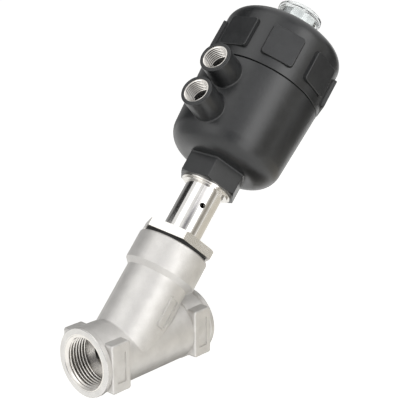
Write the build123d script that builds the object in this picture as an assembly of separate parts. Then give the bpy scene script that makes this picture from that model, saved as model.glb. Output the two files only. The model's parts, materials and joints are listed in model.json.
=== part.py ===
"""Angle seat valve, DN 20, with a pneumatic piston actuator.

A cast Y body with two G 3/4 ports carries a slanted bonnet: a hexagon nut and a polished tube.
A moulded piston actuator turns on top of the tube, and its piston lifts the plug off the seat.

Frame: the origin is the centre of the inlet port's face, +X runs along the flow to the outlet,
+Z is up. The actuator leans over the outlet. Everything on the slanted axis is modelled upright,
with Z as the distance from the flow axis, X away from the outlet and Y to the front, and is then
set on the slant. Lengths are in millimetres, angles in degrees.
"""

import os
from math import cos, radians, sin, sqrt

from build123d import *

# ---------------------------------------------------------------- clearances
fit_gap = 0.03            # between fixed pieces that sit in one another
run_gap = 0.05            # radial clearance of pieces that slide or turn

# ---------------------------------------------------------------- body, ports and flow passage
face_to_face = 75.0
port_thread_r = 13.22     # G 3/4 major radius
port_thread_len = 16.0
port_mouth_r = 14.7
port_ring_r = 17.8
port_ring_len = 3.0
port_ring_round = 0.5
hub_r = 17.35
lug_half_width = 17.7
lug_half_height = 12.7
lug_len = 11.9
lug_round = 1.3
lug_panel_len = 5.8
lug_panel_half_height = 7.8
lug_panel_depth = 0.7
lug_panel_round = 0.6
lug_edge_round = 0.8
pipe_r = 17.0
passage_r = 10.0
seat_wall = 3.2
crotch_round = 1.2         # cast blend where the branch leaves the pipe

# ---------------------------------------------------------------- slanted axis and branch
axis_angle = 47.0
axis_cross_x = 23.5       # where the slanted axis crosses the flow axis
branch_r = 16.8
branch_bore_r = 13.4
seat_t = 12.5
seat_bore_r = 9.5
seat_lip_r = 10.9
seat_lip_height = 1.0
seat_gap = 0.02           # the closed plug stops just clear of its seat
collar_start = 42.8
collar_cone = 2.8
collar_top = 58.4
collar_r = 19.3
collar_round = 1.0
bonnet_thread_r = 14.6

# ---------------------------------------------------------------- bonnet
gasket_thickness = 1.7
gasket_r = 17.2
nut_height = 4.8
nut_across_flats = 36.0
nut_turn = 48.5           # a corner's angle from local X
nut_chamfer = 1.0
nut_edge_round = 0.4
spigot_start = 42.0
tube_r = 10.45
tube_bore_r = 8.4
tube_start = 50.0
tube_end = 111.0
weep_r = 1.5
weep_t = 82.8
weep_turn = 57.6
stem_r = 5.0

lower_guide_r = 7.4
lower_guide_len = 8.0
packing_start = 52.0
packing_count = 5
packing_pitch = 2.4
washer_thickness = 1.5
packing_spring_len = 20.0
packing_spring_wire_r = 0.7
packing_spring_turns = 5
upper_guide_len = 9.0
lip_seal_len = 4.0
retaining_ring_t = 108.2
retaining_ring_r = 12.6
retaining_ring_len = 1.5
retaining_groove_depth = 0.9
retaining_ring_gap = 3.0

# ---------------------------------------------------------------- actuator housing
neck_bottom = 95.4
neck_across_flats = 30.0
neck_turn = 35.5          # a corner's angle from local X
neck_chamfer = 1.6
neck_edge_round = 0.5
neck_foot_round = 0.8
neck_bush_wall = 2.2
neck_flange_r = 13.9
neck_flange_len = 1.1
neck_step_r = 12.6
neck_step_len = 0.8
housing_bottom = 107.4
housing_corner_round = 12.5
housing_low_r = 30.4
housing_seam_t = 157.0
housing_seam_r = 33.5
cylinder_r = 25.0
cylinder_floor = 113.0
cylinder_floor_round = 2.5
neck_bore_end = 106.4
ring_pocket_r = 13.6
spigot_r = 29.0
spigot_len = 9.0
seam_gap = 0.35
seam_round = 0.4

air_port_turn = 7.0
lower_air_port_t = 125.7
air_port_spacing = 20.5
air_port_reach = 47.0     # boss face from the slanted axis
air_boss_r = 8.5
air_insert_r = 7.35
air_insert_len = 14.0
air_thread_r = 6.58       # G 1/4 major radius
air_thread_len = 12.0
air_channel_r = 1.5
air_channel_offset = 2.0
boss_foot_round = 0.8
boss_face_round = 0.6

# ---------------------------------------------------------------- actuator cap
cap_side_r = 33.6
cap_top_t = 191.8
cap_shoulder_round = 8.0
cap_crown_t = 193.2
cap_crown_r = 13.5
spring_ceiling_t = 184.5
ceiling_round = 3.0
indicator_rod_gap = 1.0
pad_count = 8
pad_turn = 42.7           # the front pad's angle from local X
pad_low_t = 162.6
pad_high_t = 180.1
pad_half_width = 9.0
pad_reach = 34.5
pad_round = 1.8
pad_edge_round = 0.4

# ---------------------------------------------------------------- sight cap and indicator
sight_r = 12.4
sight_lip_r = 12.8
sight_lip_len = 1.6
sight_groove_len = 1.4
sight_groove_depth = 0.5
sight_top_t = 208.1
sight_wall = 2.6
sight_spigot_wall = 1.4
sight_rim_round = 0.6
sight_spigot_r = 10.4
sight_spigot_len = 4.6
sight_gasket_thickness = 0.5
indicator_r = 8.0
indicator_len = 4.6
indicator_rod_r = 3.0

# ---------------------------------------------------------------- piston, springs, plug
stroke = 9.5
piston_bottom = 129.5
piston_rim_len = 6.5
piston_web = 3.5
piston_hub_r = 9.0
piston_hub_len = 11.0
piston_groove_depth = 3.0
piston_seal_len = 2.4
piston_guide_len = 1.4
piston_rim_wall = 4.5
piston_nut_across_flats = 16.0
piston_nut_len = 6.0
outer_spring_r = 17.6
outer_spring_wire_r = 1.5
outer_spring_turns = 6
inner_spring_r = 12.4
inner_spring_wire_r = 1.1
inner_spring_turns = 8

plug_r = 12.0
plug_len = 10.0
plug_taper = 2.0
plug_seal_r = 11.6
plug_seal_thickness = 3.0
plug_socket_len = 7.5
plug_screw_r = 3.0
plug_washer_r = 7.6
plug_washer_len = 2.0
plug_screw_head_r = 5.0
plug_screw_head_len = 3.2
plug_collar_r = 6.6
plug_collar_len = 2.4

# ---------------------------------------------------------------- places worked out from the above
slant = Plane(
    origin=(axis_cross_x, 0, 0),
    x_dir=(-sin(radians(axis_angle)), 0, cos(radians(axis_angle))),
    z_dir=(cos(radians(axis_angle)), 0, sin(radians(axis_angle))),
)
nut_bottom = collar_top + gasket_thickness
nut_top = nut_bottom + nut_height
packing_end = packing_start + packing_count * packing_pitch
packing_spring_t = packing_end + washer_thickness
upper_guide_t = packing_spring_t + packing_spring_len
cap_bottom = housing_seam_t + seam_gap
sight_bottom = cap_crown_t + sight_gasket_thickness
neck_bush_r = tube_r + run_gap + neck_bush_wall
piston_r = cylinder_r - run_gap
spring_seat_t = piston_bottom + piston_web
plug_bottom = seat_t + plug_seal_thickness


# ---------------------------------------------------------------- helpers
def profile(points, rounds=()):
    """A face in the XZ plane from (radius, height) points; rounds are (point index, radius)."""
    face = Polygon(*points, align=None)
    for index, radius in rounds:
        corner = face.vertices().sort_by_distance((*points[index], 0))[0]
        face = fillet(corner, radius)
    return Plane.XZ * face


def turned(points, rounds=()):
    """A solid of revolution about local Z."""
    return revolve(profile(points, rounds), Axis.Z)


def ring(inner_r, outer_r, low, high):
    return turned([(inner_r, low), (outer_r, low), (outer_r, high), (inner_r, high)])


def rod(radius, low, high):
    return Pos(0, 0, low) * Cylinder(radius, high - low, align=(Align.CENTER, Align.CENTER, Align.MIN))


def rod_x(radius, low, high):
    """A cylinder along the flow axis."""
    return Pos(low, 0, 0) * Rot(0, 90, 0) * rod(radius, 0, high - low)


def rod_out(radius, low, high, height, turn):
    """A cylinder that points away from the slanted axis."""
    return Rot(0, 0, turn) * Pos(low, 0, height) * Rot(0, 90, 0) * rod(radius, 0, high - low)


def hexagon(across_flats, low, high, turn, chamfer_low=0.0, chamfer_high=0.0, edge_round=0.4):
    """A hexagonal bar with eased edges, whose corners are turned off at its ends."""
    bar = Pos(0, 0, low) * Rot(0, 0, turn) * extrude(
        RegularPolygon(across_flats / 2, 6, major_radius=False, rotation=0), high - low
    )
    bar = fillet(bar.edges().filter_by(Axis.Z), edge_round)
    corner_r = across_flats / sqrt(3) + 0.01
    slope = 0.5
    turning = turned([
        (0, low),
        (corner_r - chamfer_low, low),
        (corner_r, low + slope * chamfer_low + 0.001),
        (corner_r, high - slope * chamfer_high - 0.001),
        (corner_r - chamfer_high, high),
        (0, high),
    ])
    return bar & turning


def coil(mean_r, wire_r, low, high, turns):
    """A coil spring between two flat seats, its end turns resting on them."""
    height = high - low - 2 * wire_r
    path = Pos(0, 0, low + wire_r) * Helix(pitch=height / turns, height=height, radius=mean_r)
    start = Plane(origin=path @ 0, z_dir=path % 0)
    return sweep(start * Circle(wire_r), path=path, is_frenet=True)


# ---------------------------------------------------------------- valve body and bonnet
def port_end():
    """The outside of one port: front ring, hub and two wrench lugs, from its face inwards."""
    front = rod_x(port_ring_r, 0, port_ring_len)
    front = fillet(front.edges().filter_by(GeomType.CIRCLE), port_ring_round)
    ring_and_hub = front + rod_x(hub_r, 0, port_ring_len + lug_len)
    lug = Box(lug_len, 2 * lug_half_width, 2 * lug_half_height, align=(Align.MIN, Align.CENTER, Align.CENTER))
    lug = fillet(lug.edges().filter_by(Axis.Y), lug_round)
    lug = fillet(lug.faces().filter_by(Axis.Y).edges(), lug_edge_round)
    panel = Box(lug_panel_len, 2 * lug_panel_depth, 2 * lug_panel_half_height)
    panel = fillet(panel.edges().filter_by(Axis.Y), lug_panel_round)
    for side in (-1, 1):
        lug -= Pos(lug_len / 2, side * lug_half_width, 0) * panel
    return ring_and_hub + Pos(port_ring_len, 0, 0) * lug


def port_bore():
    """The threaded bore at its major radius, with a lead-in at the mouth."""
    lead = port_mouth_r - port_thread_r
    mouth = Rot(0, 90, 0) * turned([(0, 0), (port_mouth_r, 0), (port_thread_r, lead), (0, lead)])
    return mouth + rod_x(port_thread_r, 0, port_thread_len)


def mirrored(shape):
    """The same shape at the outlet end."""
    return Pos(face_to_face, 0, 0) * Rot(0, 0, 180) * shape


def beyond_seat(offset):
    """The half space on the actuator's side of the seat, moved by offset along the slanted axis."""
    reach = 2 * face_to_face
    block = Box(reach, reach, reach, align=(Align.CENTER, Align.CENTER, Align.MIN))
    return slant.location * Pos(0, 0, seat_t + offset) * block


def crease_edges(shape):
    """The edges where two round walls cross, which are neither straight nor circular."""
    return [edge for edge in shape.edges() if edge.geom_type not in (GeomType.LINE, GeomType.CIRCLE)]


def valve_body():
    branch = turned([
        (0, 0),
        (branch_r, 0),
        (branch_r, collar_start - collar_cone),
        (collar_r, collar_start),
        (collar_r, collar_top),
        (0, collar_top),
    ], rounds=[(4, collar_round)])
    body = rod_x(pipe_r, port_ring_len + lug_len / 2, face_to_face - port_ring_len - lug_len / 2)
    body += slant.location * branch
    body = fillet(crease_edges(body), crotch_round)
    body += port_end() + mirrored(port_end())

    inlet_way = rod_x(passage_r, 0, face_to_face) - beyond_seat(-seat_wall)
    outlet_way = rod_x(passage_r, 0, face_to_face) & beyond_seat(0)
    seat_bore = rod(seat_bore_r, -seat_t / 2, seat_t + 1)
    chamber = turned([
        (0, seat_t - seat_gap),
        (seat_lip_r, seat_t - seat_gap),
        (seat_lip_r, seat_t - seat_lip_height),
        (branch_bore_r, seat_t - seat_lip_height),
        (branch_bore_r, spigot_start - 1),
        (bonnet_thread_r, spigot_start),
        (bonnet_thread_r, collar_top + 1),
        (0, collar_top + 1),
    ])
    body -= inlet_way + slant.location * seat_bore
    body -= outlet_way + slant.location * chamber
    return body - port_bore() - mirrored(port_bore())


def bonnet_gasket():
    return ring(bonnet_thread_r, gasket_r, collar_top, nut_bottom)


def bonnet_nut():
    head = hexagon(nut_across_flats, nut_bottom, nut_top, nut_turn, 0, nut_chamfer, nut_edge_round)
    spigot = rod(bonnet_thread_r - run_gap, spigot_start, nut_bottom)
    bore = rod(lower_guide_r + fit_gap, spigot_start, tube_start) + rod(tube_r + fit_gap, tube_start, nut_top)
    return head + spigot - bore


def yoke_tube():
    tube = ring(tube_bore_r, tube_r, tube_start, tube_end)
    groove = ring(
        tube_r - retaining_groove_depth, tube_r + 1, retaining_ring_t, retaining_ring_t + retaining_ring_len
    )
    return tube - groove - rod_out(weep_r, 0, 2 * tube_r, weep_t, weep_turn)


def lower_guide_bush():
    return ring(stem_r + run_gap, lower_guide_r, tube_start - lower_guide_len, tube_start)


def packing_rings():
    """Chevron rings in one stack, from the support washer up."""
    rings = []
    slope = 0.25 * packing_pitch
    middle = (stem_r + tube_bore_r) / 2
    for number in range(packing_count):
        low = packing_start + number * packing_pitch
        rings.append(turned([
            (stem_r + run_gap, low),
            (middle, low + slope),
            (tube_bore_r - fit_gap, low),
            (tube_bore_r - fit_gap, low + packing_pitch - slope),
            (middle, low + packing_pitch),
            (stem_r + run_gap, low + packing_pitch - slope),
        ]))
    return Compound(rings)


def packing_washer(low, thickness):
    return ring(stem_r + 4 * run_gap, tube_bore_r - fit_gap, low, low + thickness)


def packing_spring():
    mean_r = (stem_r + tube_bore_r) / 2
    return coil(mean_r, packing_spring_wire_r, packing_spring_t, upper_guide_t, packing_spring_turns)


def upper_guide_bush():
    return ring(stem_r + run_gap, tube_bore_r - fit_gap, upper_guide_t, upper_guide_t + upper_guide_len)


def stem_lip_seal():
    low = upper_guide_t + upper_guide_len
    return ring(stem_r + run_gap, tube_bore_r - fit_gap, low, low + lip_seal_len)


def retaining_ring():
    inner_r = tube_r - retaining_groove_depth + fit_gap
    low = retaining_ring_t + fit_gap
    whole = ring(inner_r, retaining_ring_r, low, retaining_ring_t + retaining_ring_len - fit_gap)
    gap = Pos(retaining_ring_r, 0, low) * Box(2 * retaining_ring_r, retaining_ring_gap, 4 * retaining_ring_len)
    return whole - gap


# ---------------------------------------------------------------- stem, piston and plug
def valve_stem():
    """The stem, from its swivel end in the plug to its thread above the piston."""
    low = plug_bottom + plug_socket_len - plug_collar_len
    high = spring_seat_t + piston_nut_len
    return rod(stem_r, low, high) + rod(plug_collar_r, low, low + plug_collar_len)


def piston():
    rim_top = piston_bottom + piston_rim_len
    body = turned([
        (stem_r + fit_gap, piston_bottom - piston_hub_len),
        (piston_hub_r, piston_bottom - piston_hub_len),
        (piston_hub_r, piston_bottom),
        (piston_r, piston_bottom),
        (piston_r, rim_top),
        (piston_r - piston_rim_wall, rim_top),
        (piston_r - piston_rim_wall, spring_seat_t),
        (stem_r + fit_gap, spring_seat_t),
    ])
    return body - piston_groove(piston_seal_low(), piston_seal_len) - piston_groove(
        piston_guide_low(), piston_guide_len
    )


def piston_seal_low():
    return piston_bottom + (piston_rim_len - piston_seal_len - piston_guide_len) / 3


def piston_guide_low():
    return piston_seal_low() + piston_seal_len + (piston_rim_len - piston_seal_len - piston_guide_len) / 3


def piston_groove(low, length):
    return ring(piston_r - piston_groove_depth, piston_r + 1, low, low + length)


def piston_band(low, length):
    """A seal or guide ring that fills its groove."""
    return ring(
        piston_r - piston_groove_depth + fit_gap, piston_r + run_gap / 2, low + fit_gap, low + length - fit_gap
    )


def piston_nut():
    nut = hexagon(
        piston_nut_across_flats, spring_seat_t, spring_seat_t + piston_nut_len, 0, 0, nut_chamfer
    )
    return nut - rod(stem_r + fit_gap, spring_seat_t, spring_seat_t + piston_nut_len)


def position_indicator():
    """The rod on top of the stem with its round marker under the sight cap."""
    low = spring_seat_t + piston_nut_len
    marker_low = sight_bottom - sight_spigot_len
    marker = rod(indicator_r, marker_low, marker_low + indicator_len)
    return rod(indicator_rod_r, low, marker_low) + marker


def valve_plug():
    """The plug's metal body: a cup over the stem's collar and a rim that backs the seal."""
    high = plug_bottom + plug_len
    cup = turned([
        (0, plug_bottom),
        (plug_r, plug_bottom),
        (plug_r, plug_bottom + 0.4 * plug_len),
        (plug_r - plug_taper, high),
        (0, high),
    ])
    socket_low = plug_bottom + plug_socket_len - plug_collar_len - run_gap
    socket_high = plug_bottom + plug_socket_len + run_gap
    socket = rod(plug_collar_r + run_gap, socket_low, socket_high) + rod(stem_r + run_gap, socket_low, high + 1)
    return cup - socket - rod(plug_screw_r, plug_bottom, socket_low - 1)


def plug_seal():
    return ring(plug_screw_r + 1, plug_seal_r, seat_t, plug_bottom)


def plug_screw():
    """The screw and its washer that hold the seal against the plug."""
    head_low = seat_t - plug_washer_len - plug_screw_head_len
    head = hexagon(2 * plug_screw_head_r, head_low, seat_t - plug_washer_len, 0, nut_chamfer / 2, 0)
    socket_low = plug_bottom + plug_socket_len - plug_collar_len - run_gap
    shank = rod(plug_screw_r - fit_gap, seat_t - plug_washer_len, socket_low - 1 - fit_gap)
    return head + rod(plug_washer_r, seat_t - plug_washer_len, seat_t) + shank


# ---------------------------------------------------------------- actuator
def neck_bush():
    """The stainless bush that the actuator turns on, with a stepped flange under the neck."""
    flange_low = neck_bottom - neck_flange_len
    return turned([
        (tube_r + run_gap, flange_low - neck_step_len),
        (neck_step_r, flange_low - neck_step_len),
        (neck_step_r, flange_low),
        (neck_flange_r, flange_low),
        (neck_flange_r, neck_bottom),
        (neck_bush_r, neck_bottom),
        (neck_bush_r, neck_bore_end),
        (tube_r + run_gap, neck_bore_end),
    ])


def housing_outside():
    shell = turned([
        (0, housing_bottom),
        (housing_low_r, housing_bottom),
        (housing_seam_r, housing_seam_t),
        (0, housing_seam_t),
    ], rounds=[(1, housing_corner_round), (2, seam_round)])
    shell = fillet(crease_edges(shell + [air_boss(height) for height in air_port_heights()]), boss_foot_round)
    shell += hexagon(neck_across_flats, neck_bottom, housing_bottom + 1, neck_turn, neck_chamfer, 0, neck_edge_round)
    foot = [edge for edge in shell.edges() if abs(edge.center().Z - housing_bottom) < fit_gap
            and edge.length < neck_across_flats]
    shell = fillet(foot, neck_foot_round)
    return shell + rod(spigot_r - fit_gap, housing_seam_t - 1, housing_seam_t + spigot_len)


def air_boss(height):
    """A round boss for an air port, its face's edge rounded."""
    boss = rod_out(air_boss_r, cylinder_r + 1, air_port_reach, height, air_port_turn)
    face = boss.edges().filter_by(GeomType.CIRCLE).sort_by_distance((0, 0, height))[-1]
    return fillet(face, boss_face_round)


def air_port_heights():
    return (lower_air_port_t, lower_air_port_t + air_port_spacing)


def air_channel_height(height):
    """The drilling goes to the side of the piston that the port serves."""
    return height - air_channel_offset if height == lower_air_port_t else height + air_channel_offset


def actuator_housing():
    insert_low = air_port_reach - air_insert_len
    housing = housing_outside()
    housing -= turned([
        (0, neck_bottom - 1),
        (neck_bush_r + fit_gap, neck_bottom - 1),
        (neck_bush_r + fit_gap, neck_bore_end),
        (ring_pocket_r, neck_bore_end),
        (ring_pocket_r, cylinder_floor),
        (cylinder_r, cylinder_floor),
        (cylinder_r, housing_seam_t + spigot_len + 1),
        (0, housing_seam_t + spigot_len + 1),
    ], rounds=[(5, cylinder_floor_round)])
    for height in air_port_heights():
        housing -= rod_out(air_insert_r + fit_gap, insert_low, air_port_reach + 1, height, air_port_turn)
        housing -= rod_out(air_channel_r, 0, air_port_reach, air_channel_height(height), air_port_turn)
    return housing


def air_port_insert(height):
    """A threaded stainless sleeve moulded into its boss, closed but for the drilling."""
    low = air_port_reach - air_insert_len + fit_gap
    floor = air_port_reach - air_thread_len
    sleeve = rod_out(air_insert_r, low, air_port_reach, height, air_port_turn)
    sleeve -= rod_out(air_thread_r, floor, air_port_reach + 1, height, air_port_turn)
    return sleeve - rod_out(air_channel_r, 0, air_port_reach, air_channel_height(height), air_port_turn)


def cap_outside():
    return turned([
        (0, cap_bottom),
        (cap_side_r, cap_bottom),
        (cap_side_r, cap_top_t),
        (cap_crown_r, cap_crown_t),
        (0, cap_crown_t),
    ], rounds=[(1, seam_round), (2, cap_shoulder_round)])


def grip_pads():
    """Flat rounded pads round the cap, which a strap or a hand grips to unscrew it."""
    height = pad_high_t - pad_low_t
    depth = pad_reach - cylinder_r
    plate = extrude(RectangleRounded(height, 2 * pad_half_width, pad_round), depth)
    plate = fillet(plate.faces().sort_by(Axis.Z)[-1].edges(), pad_edge_round)
    plate = Pos(cylinder_r, 0, (pad_low_t + pad_high_t) / 2) * Rot(0, 90, 0) * plate
    return [Rot(0, 0, pad_turn + 360 / pad_count * number) * plate for number in range(pad_count)]


def actuator_cap():
    spigot_top = housing_seam_t + spigot_len + seam_gap
    cap = cap_outside() + grip_pads()
    cap -= turned([
        (0, cap_bottom - 1),
        (spigot_r, cap_bottom - 1),
        (spigot_r, spigot_top),
        (cylinder_r, spigot_top),
        (cylinder_r, spring_ceiling_t),
        (indicator_rod_r + indicator_rod_gap, spring_ceiling_t),
        (indicator_rod_r + indicator_rod_gap, sight_bottom - sight_spigot_len - run_gap),
        (sight_spigot_r + run_gap, sight_bottom - sight_spigot_len - run_gap),
        (sight_spigot_r + run_gap, cap_crown_t + 1),
        (0, cap_crown_t + 1),
    ], rounds=[(4, ceiling_round)])
    return cap


def sight_gasket():
    return ring(sight_spigot_r + 2 * run_gap, sight_r - 0.5, cap_crown_t, sight_bottom)


def sight_cap():
    """A clear screwed cup over the indicator, with a grip lip round its top."""
    inner_r = sight_spigot_r - sight_spigot_wall
    lip_low = sight_top_t - sight_lip_len
    groove_low = lip_low - sight_groove_len
    return turned([
        (inner_r, sight_bottom - sight_spigot_len),
        (sight_spigot_r, sight_bottom - sight_spigot_len),
        (sight_spigot_r, sight_bottom),
        (sight_r, sight_bottom),
        (sight_r, groove_low),
        (sight_r - sight_groove_depth, groove_low),
        (sight_r - sight_groove_depth, lip_low),
        (sight_lip_r, lip_low),
        (sight_lip_r, sight_top_t),
        (0, sight_top_t),
        (0, sight_top_t - sight_wall),
        (inner_r, sight_top_t - sight_wall),
    ], rounds=[(8, sight_rim_round)])


# ---------------------------------------------------------------- all pieces by name
def pieces():
    low_port, high_port = air_port_heights()
    on_slant = {
        "bonnet_gasket": bonnet_gasket(),
        "bonnet_nut": bonnet_nut(),
        "yoke_tube": yoke_tube(),
        "lower_guide_bush": lower_guide_bush(),
        "packing_rings": packing_rings(),
        "packing_support": packing_washer(tube_start, packing_start - tube_start),
        "packing_follower": packing_washer(packing_end, washer_thickness),
        "packing_spring": packing_spring(),
        "upper_guide_bush": upper_guide_bush(),
        "stem_lip_seal": stem_lip_seal(),
        "retaining_ring": retaining_ring(),
        "valve_stem": valve_stem(),
        "piston": piston(),
        "piston_seal": piston_band(piston_seal_low(), piston_seal_len),
        "piston_guide_ring": piston_band(piston_guide_low(), piston_guide_len),
        "piston_nut": piston_nut(),
        "position_indicator": position_indicator(),
        "valve_plug": valve_plug(),
        "plug_seal": plug_seal(),
        "plug_screw": plug_screw(),
        "neck_bush": neck_bush(),
        "actuator_housing": actuator_housing(),
        "air_port_insert_lower": air_port_insert(low_port),
        "air_port_insert_upper": air_port_insert(high_port),
        "actuator_cap": actuator_cap(),
        "outer_spring": coil(
            outer_spring_r, outer_spring_wire_r, spring_seat_t, spring_ceiling_t, outer_spring_turns
        ),
        "inner_spring": coil(
            inner_spring_r, inner_spring_wire_r, spring_seat_t, spring_ceiling_t, inner_spring_turns
        ),
        "sight_gasket": sight_gasket(),
        "sight_cap": sight_cap(),
    }
    placed = {name: slant.location * piece for name, piece in on_slant.items()}
    return {"valve_body": valve_body(), **placed}


os.makedirs("parts", exist_ok=True)
for node, solid in pieces().items():
    export_step(solid, f"parts/{node}.step")
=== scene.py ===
# %% [markdown]
# # An angle seat valve
# This notebook dresses a stainless angle seat valve with a moulded piston actuator. The solids come
# from the CAD model and already have their exact places. Here they get materials, threads, cast
# detail, a camera and light. Blender works in metres, so a helper value turns millimetres into metres.

# %% Load the frame
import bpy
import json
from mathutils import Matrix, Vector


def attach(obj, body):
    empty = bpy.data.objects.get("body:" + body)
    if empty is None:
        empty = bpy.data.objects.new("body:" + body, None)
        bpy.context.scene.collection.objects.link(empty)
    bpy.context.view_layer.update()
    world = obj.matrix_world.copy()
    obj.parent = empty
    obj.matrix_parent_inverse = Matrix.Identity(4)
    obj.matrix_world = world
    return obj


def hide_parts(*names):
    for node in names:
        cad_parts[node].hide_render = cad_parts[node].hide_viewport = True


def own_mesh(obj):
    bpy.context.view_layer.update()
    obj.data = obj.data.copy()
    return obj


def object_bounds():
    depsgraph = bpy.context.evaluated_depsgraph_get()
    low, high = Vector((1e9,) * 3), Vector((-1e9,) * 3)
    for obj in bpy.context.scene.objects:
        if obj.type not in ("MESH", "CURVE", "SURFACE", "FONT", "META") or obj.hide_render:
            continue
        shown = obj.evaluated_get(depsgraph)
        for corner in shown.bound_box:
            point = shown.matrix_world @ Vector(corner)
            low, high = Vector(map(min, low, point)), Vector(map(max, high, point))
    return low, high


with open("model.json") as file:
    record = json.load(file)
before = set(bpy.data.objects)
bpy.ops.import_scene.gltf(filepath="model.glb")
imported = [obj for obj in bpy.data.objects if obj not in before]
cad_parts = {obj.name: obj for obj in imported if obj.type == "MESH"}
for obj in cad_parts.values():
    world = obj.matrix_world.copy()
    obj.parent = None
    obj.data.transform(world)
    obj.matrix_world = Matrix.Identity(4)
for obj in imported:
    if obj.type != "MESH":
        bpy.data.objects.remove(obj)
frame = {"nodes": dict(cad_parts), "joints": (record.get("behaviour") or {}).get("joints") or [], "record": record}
cad_low, cad_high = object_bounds()
print("CAD box in mm:", [round(1000 * value, 1) for value in (*cad_low, *cad_high)])

# %% [markdown]
# ## Two directions
# The pipe runs along X. The bonnet, the tube and the actuator share a slanted axis, which the
# record's lifting joint gives. A matrix that stands for this slanted frame lets each round piece be
# modelled upright and then be laid on the slant, as a turner or a mould maker thinks of it.

# %% The slanted frame
import json
from math import cos, pi, radians, sin, tan

import bpy
from mathutils import Matrix, Vector

mm = 0.001
nodes = frame["nodes"]
joints = {joint["name"]: joint for joint in frame["joints"]}
mounts = {mount["name"]: mount for mount in frame["record"]["mounts"]}

slant_axis = Vector(joints["stem_lift"]["axis"]).normalized()
on_axis = Vector(joints["plug_swivel"]["pos_m"])
crossing = on_axis - slant_axis * (on_axis.z / slant_axis.z)
away = Vector((-slant_axis.z, 0, slant_axis.x))
to_front = slant_axis.cross(away)
slant = Matrix((away, to_front, slant_axis)).transposed().to_4x4()
slant.translation = crossing
print("the slanted axis leaves the pipe at x =", round(crossing.x / mm, 2), "mm")

# %% [markdown]
# ## The camera
# The valve is seen from the inlet side, a little from above, through a long lens, as product
# pictures are taken: a long lens keeps the round port and the far lug in true proportion. The
# camera is aimed with a direction and a distance, and then rolled by a fraction of a degree.

# %% Camera
def look_from(azimuth, elevation):
    """The direction from the object to a viewer at these angles in degrees."""
    turn, height = radians(azimuth), radians(elevation)
    return Vector((sin(turn) * cos(height), -cos(turn) * cos(height), sin(height)))


view_back = look_from(-46.84, 16.61)
view_target = Vector((83.43, 0, 63.87)) * mm
view_right = (-view_back).cross(Vector((0, 0, 1))).normalized()
view_up = view_right.cross(-view_back)
roll = radians(-0.41)
rolled_right = view_right * cos(roll) + view_up * sin(roll)
rolled_up = view_up * cos(roll) - view_right * sin(roll)

bpy.ops.object.camera_add(location=view_target + view_back * 563.8 * mm)
camera = bpy.context.object
camera.name = "product_camera"
camera.rotation_euler = Matrix((rolled_right, rolled_up, view_back)).transposed().to_euler()
camera.data.sensor_width = 36
camera.data.lens = 97.35
camera.data.clip_start, camera.data.clip_end = 0.01, 20
bpy.context.scene.camera = camera
bpy.context.scene.view_settings.view_transform = "Standard"
print("camera at", [round(value, 3) for value in camera.location])


# %% [markdown]
# ## Nodes in one line
# Materials and the world are node trees. One small function adds a node with its options and its
# inputs, and another turns a hex colour, as a paint chart gives it, into the linear colour that the
# renderer calculates with.

# %% Node helper and colours
def node(tree, kind, sockets=None, **settings):
    """Adds one node. Sockets are numbers, colours or other nodes' outputs; settings are its options."""
    made = tree.nodes.new(kind)
    for name, value in settings.items():
        setattr(made, name, value)
    for name, value in (sockets or {}).items():
        if isinstance(value, bpy.types.NodeSocket):
            tree.links.new(value, made.inputs[name])
        else:
            made.inputs[name].default_value = value
    return made


def colour(hex_code):
    """An sRGB hex colour as the linear colour that Blender works with."""
    channels = [int(hex_code[i:i + 2], 16) / 255 for i in (1, 3, 5)]
    return (*[c / 12.92 if c <= 0.04045 else ((c + 0.055) / 1.055) ** 2.4 for c in channels], 1)


# %% [markdown]
# ## The studio
# Polished steel shows the room more than itself, so the room is set up first. It is plain white, as
# in a light tent. A mirror in a white room would look flat, so a studio stands dark and grey
# cards round it: each draws a dark line along the tube and gives the clear cap its dark outline.
# Here the cards are real planes that no camera and no shadow shows.

# %% World
def seen_plainly(tree):
    """1 for rays that show the background: from the camera, mirrored, or through clear plastic."""
    ray = node(tree, "ShaderNodeLightPath").outputs
    straight = node(tree, "ShaderNodeMath", {0: ray["Is Camera Ray"], 1: ray["Is Transmission Ray"]},
                    operation="MAXIMUM").outputs[0]
    return node(tree, "ShaderNodeMath", {0: straight, 1: ray["Is Glossy Ray"]},
                operation="MAXIMUM").outputs[0]


world = bpy.data.worlds.new("white_studio")
bpy.context.scene.world = world
world.use_nodes = True
room = world.node_tree
room.nodes.clear()
fill_light = node(room, "ShaderNodeBackground", {"Color": (1, 1, 1, 1), "Strength": 0.55})
white_card = node(room, "ShaderNodeBackground", {"Color": (1, 1, 1, 1), "Strength": 1.0})
room_mix = node(room, "ShaderNodeMixShader", {
    0: seen_plainly(room), 1: fill_light.outputs[0], 2: white_card.outputs[0]})
node(room, "ShaderNodeOutputWorld", {"Surface": room_mix.outputs[0]})
print("fill strength:", fill_light.inputs["Strength"].default_value)

# %% [markdown]
# ## Cards and panels
# What stands round the valve is placed by its angle round the slanted axis, counted to the right of
# the viewer, because a card parallel to the tube mirrors as one straight line along it. Each card
# fades from its middle to its edges, so that the line on the steel has soft borders.

# %% Places round the slanted axis
facing = (view_back - slant_axis * view_back.dot(slant_axis)).normalized()
sideways = slant_axis.cross(facing)
studio_middle = crossing + slant_axis * 110 * mm


def beside_axis(angle, distance, rise):
    """A place round the slanted axis, in metres, and its turn towards that axis."""
    outward = facing * cos(radians(angle)) + sideways * sin(radians(angle))
    place = studio_middle + outward * distance + slant_axis * rise
    turn = Matrix((slant_axis.cross(outward), slant_axis, outward)).transposed()
    return place, turn.to_euler()


# %% Cards
def fill_ramp(ramp, stops):
    """Sets a colour ramp from (position, hex colour) stops."""
    elements = ramp.color_ramp.elements
    while len(elements) > 1:
        elements.remove(elements[-1])
    elements[0].position, elements[0].color = stops[0][0], colour(stops[0][1])
    for position, code in stops[1:]:
        elements.new(position).color = colour(code)


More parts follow.
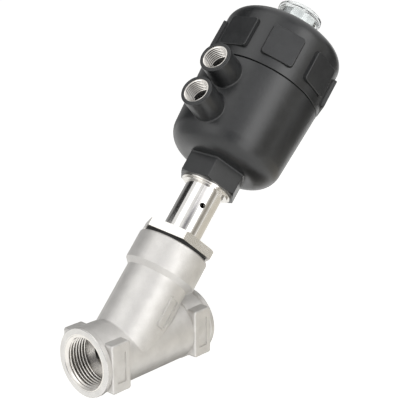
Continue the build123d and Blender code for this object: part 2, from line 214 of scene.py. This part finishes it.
def mirror_card(name, place, turn, width, length, middle, edge):
    """A card that the camera never sees; middle and edge are the tones that it shows to mirrors."""
    bpy.ops.mesh.primitive_plane_add(size=1, location=place, rotation=turn)
    card = bpy.context.object
    card.name = name
    card.scale = (width, length, 1)
    card.visible_camera = card.visible_shadow = False
    material = bpy.data.materials.new(name + "_paint")
    material.use_nodes = True
    tree = material.node_tree
    tree.nodes.clear()
    across = node(tree, "ShaderNodeSeparateXYZ", {
        0: node(tree, "ShaderNodeTexCoord").outputs["Object"]}).outputs["X"]
    off_middle = node(tree, "ShaderNodeMath", {0: across}, operation="ABSOLUTE").outputs[0]
    tones = node(tree, "ShaderNodeValToRGB", {"Fac": off_middle})
    fill_ramp(tones, [(0.1, middle), (0.5, edge)])
    tones.color_ramp.interpolation = "EASE"
    paint = node(tree, "ShaderNodeEmission", {"Color": tones.outputs["Color"], "Strength": 1.0})
    node(tree, "ShaderNodeOutputMaterial", {"Surface": paint.outputs[0]})
    card.data.materials.append(material)


for name, angle, half_angle, distance, start, end, middle, edge in (
    ("black_card_left", -104, 22, 0.55, 0.20, 1.0, "#2c2c2c", "#707070"),
    ("pale_card_left", -108, 26, 0.56, -0.40, 0.20, "#c2c2c2", "#d4d4d4"),
    ("grey_card_behind", -150, 24, 0.60, 0.20, 1.0, "#a8a8a8", "#989898"),
    ("grey_card_above", -4, 15, 0.60, -0.40, 1.0, "#96959a", "#f2f2f2"),
    ("grey_card_right", 60, 17, 0.55, -0.40, 1.0, "#a8a39a", "#eeece6"),
    ("cream_card_low", 112, 32, 0.30, -0.30, 0.19, "#e2dccf", "#e8e3d8"),
    ("grey_card_low", 108, 26, 0.32, 0.20, 0.70, "#5c5a57", "#7c7a76"),
):
    place, turn = beside_axis(angle, distance, (start + end) / 2 - 0.11)
    mirror_card(name, place, turn, 2 * distance * tan(radians(half_angle)), end - start, middle, edge)
under_valve = Vector((0.11, 0.03, cad_low.z - 0.12))
mirror_card("dark_card_under", under_valve, (0, 0, 0), 0.26, 0.20, "#55524e", "#c4c0b8")


# %% Soft panels
def soft_panel(name, angle, half_angle, distance, brightness, rise=0.15, length=1.4):
    """A soft light towards the slanted axis, as bright to look at as brightness says."""
    width = 2 * distance * tan(radians(half_angle))
    place, turn = beside_axis(angle, distance, rise)
    bpy.ops.object.light_add(type="AREA", location=place, rotation=turn)
    panel = bpy.context.object
    panel.name = name
    panel.data.shape = "RECTANGLE"
    panel.data.size, panel.data.size_y = width, length
    panel.data.energy = brightness * pi * width * length
    return panel


soft_panel("panel_left", -48, 16, 0.75, 0.70)
soft_panel("panel_right", 28, 13, 0.75, 1.7)
# This one is small and near, so that only the actuator mirrors it and the steel tube does not.
soft_panel("panel_before_actuator", 8, 22, 0.32, 0.85, rise=0.145, length=0.18)
key_light = soft_panel("key_beside_camera", 8, 18, 0.90, 0.60)
key_light.visible_glossy = False      # it only lifts plastics, and draws no line on the steel

# %% [markdown]
# ## The floor
# A valve like this never stands by itself: a pipe holds it. The floor is therefore a sheet of white
# paper some way below it, which fills the picture with white and keeps a soft shadow.

# %% Floor
bpy.ops.mesh.primitive_plane_add(size=8, location=(0.08, 0, cad_low.z - 0.13))
floor = bpy.context.object
floor.name = "studio_floor"
paper = bpy.data.materials.new("white_paper")
paper.use_nodes = True
sheet = paper.node_tree
sheet.nodes.clear()
lit_paper = node(sheet, "ShaderNodeBsdfDiffuse", {"Color": colour("#f2f2f0")})
glow = node(sheet, "ShaderNodeEmission", {"Color": (1, 1, 1, 1), "Strength": 0.55})
glowing = node(sheet, "ShaderNodeAddShader", {0: lit_paper.outputs[0], 1: glow.outputs[0]})
paper_mix = node(sheet, "ShaderNodeMixShader", {
    0: seen_plainly(sheet), 1: lit_paper.outputs[0], 2: glowing.outputs[0]})
node(sheet, "ShaderNodeOutputMaterial", {"Surface": paper_mix.outputs[0]})
floor.data.materials.append(paper)
print("floor at z =", round(floor.location.z / mm, 1), "mm")


# %% [markdown]
# ## Coordinates for patterns
# A pattern that is measured in millimetres is easy to check against the real surface. Object
# coordinates are turned into millimetres by a Mapping node, either as they are or laid on the
# slanted axis, where Z then runs along the tube and rings round it are turning marks. Noise with a
# scale of one divided by a size has lumps of about that size, and the bands of a Wave texture with a
# scale of one lie a twentieth of a full turn apart, which is the wave period below.

# %% Pattern coordinates
wave_period = 0.314


def new_material(name):
    """An empty node material."""
    material = bpy.data.materials.new(name)
    material.use_nodes = True
    material.node_tree.nodes.clear()
    return material, material.node_tree


def millimetres(tree, on_slant=False):
    """Object coordinates in millimetres, in the part's frame or in the slanted frame."""
    mapping = node(tree, "ShaderNodeMapping", {
        "Vector": node(tree, "ShaderNodeTexCoord").outputs["Object"], "Scale": (mm, mm, mm),
    }, vector_type="TEXTURE")
    if on_slant:
        mapping.inputs["Location"].default_value = crossing
        mapping.inputs["Rotation"].default_value = slant.to_euler()
    return mapping.outputs["Vector"]


# %% [markdown]
# ## Cast stainless steel with machined ports
# The body is investment cast in stainless steel and shot-blasted, which leaves a fine even grain
# and a satin, slightly warm grey that spreads every reflection. The port faces and bores are turned
# afterwards: they are brighter and smoother, with rings from the tool. Both finishes are on one
# solid, so one material holds them and chooses by place: near the port face, or inside the bore.

# %% Cast body material
port_wall_r = mounts["inlet_port"]["dims"]["r_mm"]
face_middle = Vector(mounts["outlet_face"]["pos_m"]).x / 2 / mm
turned_skin = 0.25      # how deep the facing cut reaches below a port face
turned_mouth = 1.55     # how much wider than the thread the countersunk mouth is, in radius
bore_starts = 20.0      # the machined bores lie further than this from the middle

cast_finish, tree = new_material("blasted_cast_stainless")
place = millimetres(tree)
axes = node(tree, "ShaderNodeSeparateXYZ", {"Vector": place}).outputs
to_axis = node(tree, "ShaderNodeCombineXYZ", {"Y": axes["Y"], "Z": axes["Z"]}).outputs[0]
radius = node(tree, "ShaderNodeVectorMath", {0: to_axis}, operation="LENGTH").outputs["Value"]
along = node(tree, "ShaderNodeMath", {0: axes["X"], 1: face_middle}, operation="SUBTRACT").outputs[0]
from_middle = node(tree, "ShaderNodeMath", {0: along}, operation="ABSOLUTE").outputs[0]
on_face = node(tree, "ShaderNodeMath", {0: from_middle, 1: face_middle - turned_skin},
               operation="GREATER_THAN").outputs[0]
narrow = node(tree, "ShaderNodeMath", {0: radius, 1: port_wall_r + turned_mouth},
              operation="LESS_THAN").outputs[0]
near_end = node(tree, "ShaderNodeMath", {0: from_middle, 1: bore_starts},
                operation="GREATER_THAN").outputs[0]
in_bore = node(tree, "ShaderNodeMath", {0: narrow, 1: near_end}, operation="MULTIPLY").outputs[0]
machined = node(tree, "ShaderNodeMath", {0: on_face, 1: in_bore}, operation="MAXIMUM").outputs[0]
as_cast = node(tree, "ShaderNodeMath", {0: 1.0, 1: machined}, operation="SUBTRACT").outputs[0]

# Shot leaves pits of 0.1 to 0.2 mm. They are drawn 0.7 mm wide, because finer ones would not show.
pits = node(tree, "ShaderNodeTexNoise", {
    "Vector": place, "Scale": 1 / 0.7, "Detail": 3.0, "Roughness": 0.65}).outputs["Fac"]
waves = node(tree, "ShaderNodeTexNoise", {"Vector": place, "Scale": 1 / 6, "Detail": 3.0}).outputs["Fac"]
cast_colour = node(tree, "ShaderNodeValToRGB", {"Fac": waves})
fill_ramp(cast_colour, [(0.3, "#cccac7"), (0.7, "#d6d4d1")])
satin = node(tree, "ShaderNodeMapRange", {"Value": pits, "To Min": 0.44, "To Max": 0.64}).outputs["Result"]
roughness = node(tree, "ShaderNodeMix", {"Factor": machined, "A": satin, "B": 0.24}).outputs["Result"]
wave_height = node(tree, "ShaderNodeMath", {0: waves, 1: as_cast}, operation="MULTIPLY").outputs[0]
pit_height = node(tree, "ShaderNodeMath", {0: pits, 1: as_cast}, operation="MULTIPLY").outputs[0]
tool_rings = node(tree, "ShaderNodeTexWave", {"Vector": place, "Scale": wave_period / 0.5, "Distortion": 0.3},
                  wave_type="RINGS", rings_direction="X").outputs["Fac"]
ring_height = node(tree, "ShaderNodeMath", {0: tool_rings, 1: machined}, operation="MULTIPLY").outputs[0]
wavy = node(tree, "ShaderNodeBump", {"Height": wave_height, "Distance": 0.05 * mm}).outputs["Normal"]
pitted = node(tree, "ShaderNodeBump", {
    "Height": pit_height, "Distance": 0.09 * mm, "Normal": wavy}).outputs["Normal"]
tooled = node(tree, "ShaderNodeBump", {
    "Height": ring_height, "Distance": 0.004 * mm, "Normal": pitted}).outputs["Normal"]
shader = node(tree, "ShaderNodeBsdfPrincipled", {
    "Base Color": cast_colour.outputs["Color"], "Metallic": 1.0, "Roughness": roughness, "Normal": tooled})
node(tree, "ShaderNodeOutputMaterial", {"Surface": shader.outputs["BSDF"]})
print("machined inside r =", port_wall_r + turned_mouth, "mm near the ends")


# %% [markdown]
# ## Turned, polished and spring steel
# Turned stainless keeps very fine rings from the tool; the tube is ground and polished until it
# mirrors, and the wire of the springs is dark from its heat treatment. They share a recipe: a metal,
# a low roughness and rings round the slanted axis whose spacing and depth tell them apart. A metal
# keeps the standard IOR, because its colour already says how strongly it reflects.

# %% Turned metals
def turned_steel(name, dark, light, roughness, ring_spacing, ring_depth):
    """Metal with tool marks round the slanted axis, spacing and depth in millimetres."""
    material, tree = new_material(name)
    place = millimetres(tree, on_slant=True)
    clouds = node(tree, "ShaderNodeTexNoise", {"Vector": place, "Scale": 1 / 4, "Detail": 3.0}).outputs["Fac"]
    tones = node(tree, "ShaderNodeValToRGB", {"Fac": clouds})
    fill_ramp(tones, [(0.35, dark), (0.65, light)])
    polish = node(tree, "ShaderNodeMapRange", {
        "Value": clouds, "To Min": 0.85 * roughness, "To Max": 1.15 * roughness}).outputs["Result"]
    rings = node(tree, "ShaderNodeTexWave", {
        "Vector": place, "Scale": wave_period / ring_spacing, "Distortion": 0.6, "Detail": 1.0,
    }, wave_type="BANDS", bands_direction="Z").outputs["Fac"]
    marks = node(tree, "ShaderNodeBump", {"Height": rings, "Distance": ring_depth * mm}).outputs["Normal"]
    shader = node(tree, "ShaderNodeBsdfPrincipled", {
        "Base Color": tones.outputs["Color"], "Metallic": 1.0, "Roughness": polish, "Normal": marks})
    node(tree, "ShaderNodeOutputMaterial", {"Surface": shader.outputs["BSDF"]})
    return material


polished_tube = turned_steel("ground_and_polished_stainless", "#d9d7d4", "#e0dedb", 0.11, 0.6, 0.001)
turned_finish = turned_steel("lathe_turned_stainless", "#d6d3ce", "#dfdcd7", 0.20, 0.5, 0.003)
nut_finish = turned_steel("milled_stainless_nut", "#dbd8d2", "#e3e0db", 0.26, 0.7, 0.003)
thread_bright = turned_steel("tapped_thread_stainless", "#dcd8d2", "#e6e3de", 0.22, 0.5, 0.001)
spring_finish = turned_steel("spring_steel_wire", "#7a7a7c", "#8e8e90", 0.30, 0.4, 0.002)
metals = (polished_tube, turned_finish, nut_finish, thread_bright, spring_finish)
print("metals:", [metal.name for metal in metals])


# %% [markdown]
# ## Moulded plastics and rubber
# The actuator is moulded in black polyamide with glass fibres. The mould gives it a fine satin grain
# that spreads highlights, and the fibres make the surface slightly uneven, so that a broad highlight
# breaks up into soft clouds. The same recipe, with other colours and grains, gives skived PTFE,
# the filled polymer of the piston, rubber and the smooth marker. Their IORs are the real ones.

# %% Moulded plastics
def moulded(name, dark, light, roughness, ior, grain, grain_depth, cloud_depth=0.06):
    """A plastic with a mould grain and flow clouds, grain and depths in millimetres."""
    material, tree = new_material(name)
    place = millimetres(tree, on_slant=True)
    flow = node(tree, "ShaderNodeTexNoise", {
        "Vector": place, "Scale": 1 / 7, "Detail": 5.0, "Roughness": 0.65}).outputs["Fac"]
    fine = node(tree, "ShaderNodeTexNoise", {
        "Vector": place, "Scale": 1 / grain, "Detail": 2.0, "Roughness": 0.6}).outputs["Fac"]
    tones = node(tree, "ShaderNodeValToRGB", {"Fac": flow})
    fill_ramp(tones, [(0.35, dark), (0.65, light)])
    satin = node(tree, "ShaderNodeMapRange", {
        "Value": flow, "To Min": roughness - 0.06, "To Max": roughness + 0.06}).outputs["Result"]
    clouded = node(tree, "ShaderNodeBump", {"Height": flow, "Distance": cloud_depth * mm}).outputs["Normal"]
    grained = node(tree, "ShaderNodeBump", {
        "Height": fine, "Distance": grain_depth * mm, "Normal": clouded}).outputs["Normal"]
    shader = node(tree, "ShaderNodeBsdfPrincipled", {
        "Base Color": tones.outputs["Color"], "Roughness": satin, "IOR": ior, "Normal": grained})
    node(tree, "ShaderNodeOutputMaterial", {"Surface": shader.outputs["BSDF"]})
    return material


black_polyamide = moulded("glass_filled_polyamide", "#1e1f20", "#262728", 0.33, 1.56, 0.7, 0.02, 0.08)
# Near-black polyamide that paints the shade round the foot of each grip pad.
pad_shade_polyamide = moulded("polyamide_in_the_joint", "#050505", "#090909", 0.70, 1.53, 0.7, 0.01)
white_ptfe = moulded("skived_ptfe", "#e4e3dd", "#efeeea", 0.5, 1.35, 1.0, 0.01)
piston_polymer = moulded("filled_piston_polymer", "#8c8b86", "#98978f", 0.5, 1.5, 0.8, 0.015)
dark_elastomer = moulded("moulded_elastomer", "#151515", "#1d1d1c", 0.6, 1.5, 0.8, 0.02)
marker_white = moulded("indicator_polymer", "#dededa", "#e8e8e4", 0.3, 1.5, 1.0, 0.005)
print("plastics:", black_polyamide.name, white_ptfe.name, marker_white.name)

# %% [markdown]
# ## Clear polycarbonate
# The sight cap is moulded in clear polycarbonate. Clear plastic is seen by what it bends and
# mirrors: an IOR of 1.58, full transmission and a very smooth surface with faint moulding ripples.

# %% Clear plastic
clear_finish, tree = new_material("moulded_clear_polycarbonate")
ripples = node(tree, "ShaderNodeTexNoise", {
    "Vector": millimetres(tree, on_slant=True), "Scale": 1 / 3, "Detail": 2.0}).outputs["Fac"]
rippled = node(tree, "ShaderNodeBump", {"Height": ripples, "Distance": 0.03 * mm}).outputs["Normal"]
shader = node(tree, "ShaderNodeBsdfPrincipled", {
    "Base Color": colour("#eff2f2"), "Transmission Weight": 1.0, "Roughness": 0.03, "IOR": 1.58,
    "Normal": rippled})
node(tree, "ShaderNodeOutputMaterial", {"Surface": shader.outputs["BSDF"]})
print("clear:", clear_finish.name)

# %% Dress the CAD solids
finishes = {
    "valve_body": cast_finish, "bonnet_nut": nut_finish, "yoke_tube": polished_tube,
    "actuator_housing": black_polyamide, "actuator_cap": black_polyamide, "sight_cap": clear_finish,
    "position_indicator": marker_white, "piston": piston_polymer,
}
by_slot = {
    "turned_stainless": turned_finish, "spring_steel": spring_finish, "white_ptfe": white_ptfe,
    "dark_elastomer": dark_elastomer,
}
slot_of = {part["node"]: part["material_slot"] for part in frame["record"]["subparts"]}
for name, solid in nodes.items():
    finish = finishes.get(name) or by_slot[slot_of[name]]
    for material_slot in solid.material_slots:
        material_slot.material = finish
print("dressed solids:", len(nodes))


# %% [markdown]
# ## Modelling helpers
# Each new piece is modelled upright in millimetres round Z, as it would stand on a lathe. Its place
# is then put into its mesh, so that the object itself stays at the origin like the CAD solids.

# %% Helpers
def only(piece):
    """Selects one object and nothing else."""
    bpy.ops.object.select_all(action="DESELECT")
    piece.select_set(True)
    bpy.context.view_layer.objects.active = piece


def pick_vertices(piece, wanted):
    """In edit mode, selects the vertices that wanted(co) is true for."""
    bpy.ops.mesh.select_mode(type="VERT")
    bpy.ops.mesh.select_all(action="DESELECT")
    bpy.ops.object.mode_set(mode="OBJECT")
    for vertex in piece.data.vertices:
        vertex.select = wanted(vertex.co)
    bpy.ops.object.mode_set(mode="EDIT")


def section(name, inner, outer, low, high):
    """A flat section beside the Z axis, from which a turned or screwed shape starts."""
    bpy.ops.object.select_all(action="DESELECT")
    bpy.ops.mesh.primitive_plane_add(
        size=1, location=((inner + outer) / 2, 0, (low + high) / 2), rotation=(pi / 2, 0, 0))
    piece = bpy.context.object
    piece.name = name
    piece.scale = (outer - inner, high - low, 1)
    bpy.ops.object.transform_apply(location=True, rotation=True, scale=True)
    return piece


def cut(piece, cutter, operation):
    """Cuts a piece with another, which is then thrown away."""
    only(piece)
    step = piece.modifiers.new("cut", "BOOLEAN")
    step.operation, step.object, step.solver = operation, cutter, "EXACT"
    bpy.ops.object.modifier_apply(modifier=step.name)
    bpy.data.objects.remove(cutter)


def finish_piece(piece, place, body, material):
    """Puts a piece's place into its mesh, dresses it and lets it ride on its body."""
    only(piece)
    bpy.ops.object.shade_smooth_by_angle(angle=radians(35))
    piece.data.transform(place @ Matrix.Diagonal((mm, mm, mm, 1)))
    piece.data.materials.clear()
    piece.data.materials.append(material)
    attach(piece, body)
    spans = zip(*(vertex.co for vertex in piece.data.vertices))
    size = [round((max(span) - min(span)) / mm, 1) for span in spans]
    print(piece.name, "faces:", len(piece.data.polygons), "size in mm:", size)


# %% [markdown]
# ## Pipe threads
# A tap cuts the thread as one helical ridge that stands inside the bore. Drawing it as a bump would
# leave the mouth round, so it is real geometry: a small trapezium, the shape of one tooth, is swept
# by the Screw modifier. The helix starts before the mouth, spreads with the countersink and is
# faced off just inside it, as the lathe does.

# %% Thread ridge
def thread_ridge(name, wall_r, height, pitch, start, end, lead):
    """An internal thread along +Z, modelled in millimetres, that spreads over the lead-in."""
    root = 0.88 * pitch
    ridge = section(name, wall_r - height, wall_r + 0.1, start, start + root)
    bpy.ops.object.mode_set(mode="EDIT")
    pick_vertices(ridge, lambda co: co.x < wall_r - height / 2)
    bpy.ops.transform.resize(value=(1, 1, 0.28))
    bpy.ops.mesh.select_all(action="SELECT")
    bpy.ops.mesh.delete(type="ONLY_FACE")
    bpy.ops.object.mode_set(mode="OBJECT")
    screw = ridge.modifiers.new("helix", "SCREW")
    screw.screw_offset = pitch
    screw.iterations = int((end - start - root) / pitch)
    screw.steps = screw.render_steps = 72
    screw.use_smooth_shade = False
    bpy.ops.object.modifier_apply(modifier=screw.name)
    for vertex in ridge.data.vertices:
        radius = Vector(vertex.co[:2]).length
        wider = 1 + max(0, lead - vertex.co.z) / radius
        vertex.co.x, vertex.co.y = vertex.co.x * wider, vertex.co.y * wider
    bpy.ops.object.mode_set(mode="EDIT")
    bpy.ops.mesh.select_all(action="SELECT")
    bpy.ops.mesh.fill_holes(sides=4)
    bpy.ops.mesh.select_all(action="SELECT")
    bpy.ops.mesh.bisect(plane_co=(0, 0, 0.08), plane_no=(0, 0, 1), clear_inner=True, use_fill=True)
    bpy.ops.mesh.select_all(action="SELECT")
    bpy.ops.mesh.normals_make_consistent(inside=False)
    bpy.ops.object.mode_set(mode="OBJECT")
    return ridge


# %% Port threads
port_pitch, port_height, countersink = 1.814, 0.80, 1.48      # a G 3/4 thread
port_length = mounts["inlet_port"]["dims"]["length_mm"]
into_inlet = Matrix(((0, 0, 1), (0, 1, 0), (-1, 0, 0))).to_4x4()
into_outlet = Matrix(((0, 0, -1), (0, 1, 0), (1, 0, 0))).to_4x4()
into_outlet.translation = mounts["outlet_face"]["pos_m"]
for port, place in (("inlet", into_inlet), ("outlet", into_outlet)):
    ridge = thread_ridge(f"{port}_port_thread", port_wall_r, port_height, port_pitch,
                         -1.9, port_length + 1.4, countersink)
    finish_piece(ridge, place, "valve", thread_bright)

# %% [markdown]
# ## Air ports
# Each pilot air port is a steel insert that the housing's plastic is moulded round. The plastic laps
# over the insert's edge in a thin lip, so that only the threaded mouth shows. A black polyamide floor
# behind the thread, open for the air channel, paints the shade at the bottom of the bore. Lip and floor
# are both a small rectangle with its corners bevelled, spun round the port's axis.

# %% Air port threads and lips
def turned_ring(name, inner, outer, low, high, edge):
    """A ring with softened edges round Z, spun from its section."""
    ring = section(name, inner, outer, low, high)
    bpy.ops.object.mode_set(mode="EDIT")
    bpy.ops.mesh.select_all(action="SELECT")
    bpy.ops.mesh.bevel(offset=edge, segments=3, affect="VERTICES")
    bpy.ops.mesh.select_all(action="SELECT")
    bpy.ops.mesh.delete(type="ONLY_FACE")
    bpy.ops.mesh.select_all(action="SELECT")
    bpy.ops.mesh.spin(steps=96, angle=2 * pi, center=(0, 0, 0), axis=(0, 0, 1))
    bpy.ops.mesh.select_all(action="SELECT")
    bpy.ops.mesh.remove_doubles(threshold=0.001)
    bpy.ops.mesh.normals_make_consistent(inside=False)
    bpy.ops.object.mode_set(mode="OBJECT")
    return ring


air_pitch, air_height, air_channel_r = 1.337, 0.60, 1.6       # a G 1/4 thread
for level in ("lower", "upper"):
    mount = mounts[f"air_port_{level}"]
    outward = Vector(mount["axis"])
    beside = outward.cross(slant_axis).normalized()
    place = Matrix((beside, beside.cross(outward), -outward)).transposed().to_4x4()
    place.translation = Vector(mount["pos_m"])
    wall_r, depth = mount["dims"]["r_mm"], mount["dims"]["length_mm"]
    ridge = thread_ridge(f"air_port_thread_{level}", wall_r, air_height, air_pitch, -1.2, depth - 0.6, 0)
    finish_piece(ridge, place, "actuator", thread_bright)
    lip = turned_ring(f"air_port_lip_{level}", wall_r + 0.12, wall_r + 1.5, -0.30, 0.15, 0.12)
    finish_piece(lip, place, "actuator", black_polyamide)
    # This black floor paints the shade deep in the bore.
    shade_floor = turned_ring(f"air_port_shade_floor_{level}", air_channel_r, wall_r - 0.1,
                             depth - 0.5, depth - 0.05, 0.1)
    finish_piece(shade_floor, place, "actuator", black_polyamide)

# %% [markdown]
# ## The cast frame on the branch
# Foundries cast a raised frame on the body for their data. Here it stays bare. It is a block with
# rounded corners, hollowed by a smaller one and cut to a cylinder just above the branch, so that the
# rails follow its curve.

# %% Cast frame
def rounded_block(name, width, length, corner, low, high):
    """A block with rounded upright edges, from low to high along Z."""
    bpy.ops.object.select_all(action="DESELECT")
    bpy.ops.mesh.primitive_cube_add(size=1, location=(0, 0, (low + high) / 2))
    block = bpy.context.object
    block.name = name
    block.scale = (width, length, high - low)
    bpy.ops.object.transform_apply(location=True, rotation=True, scale=True)
    bpy.ops.object.mode_set(mode="EDIT")
    bpy.ops.mesh.select_mode(type="EDGE")
    bpy.ops.mesh.select_all(action="DESELECT")
    bpy.ops.object.mode_set(mode="OBJECT")
    for edge in block.data.edges:
        ends = [block.data.vertices[number].co for number in edge.vertices]
        edge.select = abs(ends[0].z - ends[1].z) > 0.5 * (high - low)
    bpy.ops.object.mode_set(mode="EDIT")
    bpy.ops.mesh.bevel(offset=corner, segments=5, affect="EDGES")
    bpy.ops.object.mode_set(mode="OBJECT")
    return block


def lying_cylinder(radius, length):
    """A cylinder along Y, used to give a block a curved top."""
    bpy.ops.object.select_all(action="DESELECT")
    bpy.ops.mesh.primitive_cylinder_add(
        vertices=256, radius=radius, depth=length, rotation=(pi / 2, 0, 0))
    bpy.ops.object.transform_apply(rotation=True)
    return bpy.context.object


def on_the_side(turn, station):
    """Lays Z outward and Y along the slanted axis, at an angle round it and a station along it."""
    outward = away * cos(radians(turn)) + to_front * sin(radians(turn))
    place = Matrix((slant_axis.cross(outward), slant_axis, outward)).transposed().to_4x4()
    place.translation = crossing + slant_axis * station * mm
    return place


branch_r, frame_width, frame_length, rail, proud = 16.8, 7.2, 16.5, 0.9, 0.70
frame_block = rounded_block("cast_frame", frame_width, frame_length, 1.6, branch_r - 1.5, branch_r + 1.5)
cut(frame_block, lying_cylinder(branch_r + proud, 30), "INTERSECT")
hollow = rounded_block("hollow", frame_width - 2 * rail, frame_length - 2 * rail, 0.9,
                       branch_r - 3, branch_r + 3)
cut(frame_block, hollow, "DIFFERENCE")
finish_piece(frame_block, on_the_side(95, 25.5), "valve", cast_finish)

# %% [markdown]
# ## Painted shade round the grip pads
# The cap has eight flat pads for turning it. The shade that falls round the foot of each is painted as a
# narrow near-black line. One is modelled as a thin plate that follows the cap's curve and reaches just
# past the pad, and the others are copies of it, each with its own mesh.

# %% Painted shade round the pads
cap_side_r, pad_width, pad_low, pad_high, pad_turn = 33.6, 18.0, 162.6, 180.1, 42.7
shade_line_width, pad_count = 0.35, 8
# A near-black plate round the pad paints the shade at the pad's foot; the copies do the same for the others.
joint = rounded_block("pad_joint_0", pad_width + 2 * shade_line_width, pad_high - pad_low + 2 * shade_line_width,
                      2.1, cap_side_r - 6, cap_side_r + 2)
cut(joint, lying_cylinder(cap_side_r + 0.05, 40), "INTERSECT")
shade_lines_round_pads = [joint]
for number in range(1, pad_count):
    copy = joint.copy()
    copy.data = joint.data.copy()
    copy.name = f"pad_joint_{number}"
    bpy.context.collection.objects.link(copy)
    shade_lines_round_pads.append(copy)
for number, piece in enumerate(shade_lines_round_pads):
    place = on_the_side(pad_turn + 360 / pad_count * number, (pad_low + pad_high) / 2)
    finish_piece(piece, place, "actuator", pad_shade_polyamide)

# %% [markdown]
# ## The closing springs
# Two nested springs push the piston down, and they shorten when air lifts it. A rigid solid can't do
# that, so the springs are wound here once more, in the same place. A circle swept by the Screw
# modifier is the whole spring: one turn of the screw for each coil.

# %% Closing springs
spring_low, spring_high, stroke = 133.0, 184.5, 9.5
for name, mean_r, wire_r, coils in (("outer_spring", 17.6, 1.5, 6), ("inner_spring", 12.4, 1.1, 8)):
    bpy.ops.object.select_all(action="DESELECT")
    bpy.ops.mesh.primitive_circle_add(
        vertices=20, radius=wire_r, fill_type="NOTHING",
        location=(mean_r, 0, spring_low + wire_r), rotation=(pi / 2, 0, 0))
    wire = bpy.context.object
    wire.name = name + "_wound"
    bpy.ops.object.transform_apply(location=True, rotation=True, scale=True)
    winding = wire.modifiers.new("winding", "SCREW")
    winding.screw_offset = (spring_high - spring_low - 2 * wire_r) / coils
    winding.iterations = coils
    winding.steps = winding.render_steps = 64
    bpy.ops.object.modifier_apply(modifier=winding.name)
    bpy.ops.object.mode_set(mode="EDIT")
    bpy.ops.mesh.select_all(action="SELECT")
    bpy.ops.mesh.fill_holes(sides=20)
    bpy.ops.mesh.select_all(action="SELECT")
    bpy.ops.mesh.normals_make_consistent(inside=False)
    bpy.ops.object.mode_set(mode="OBJECT")
    finish_piece(wire, slant, "actuator", spring_finish)
    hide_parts(name)
    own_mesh(wire)
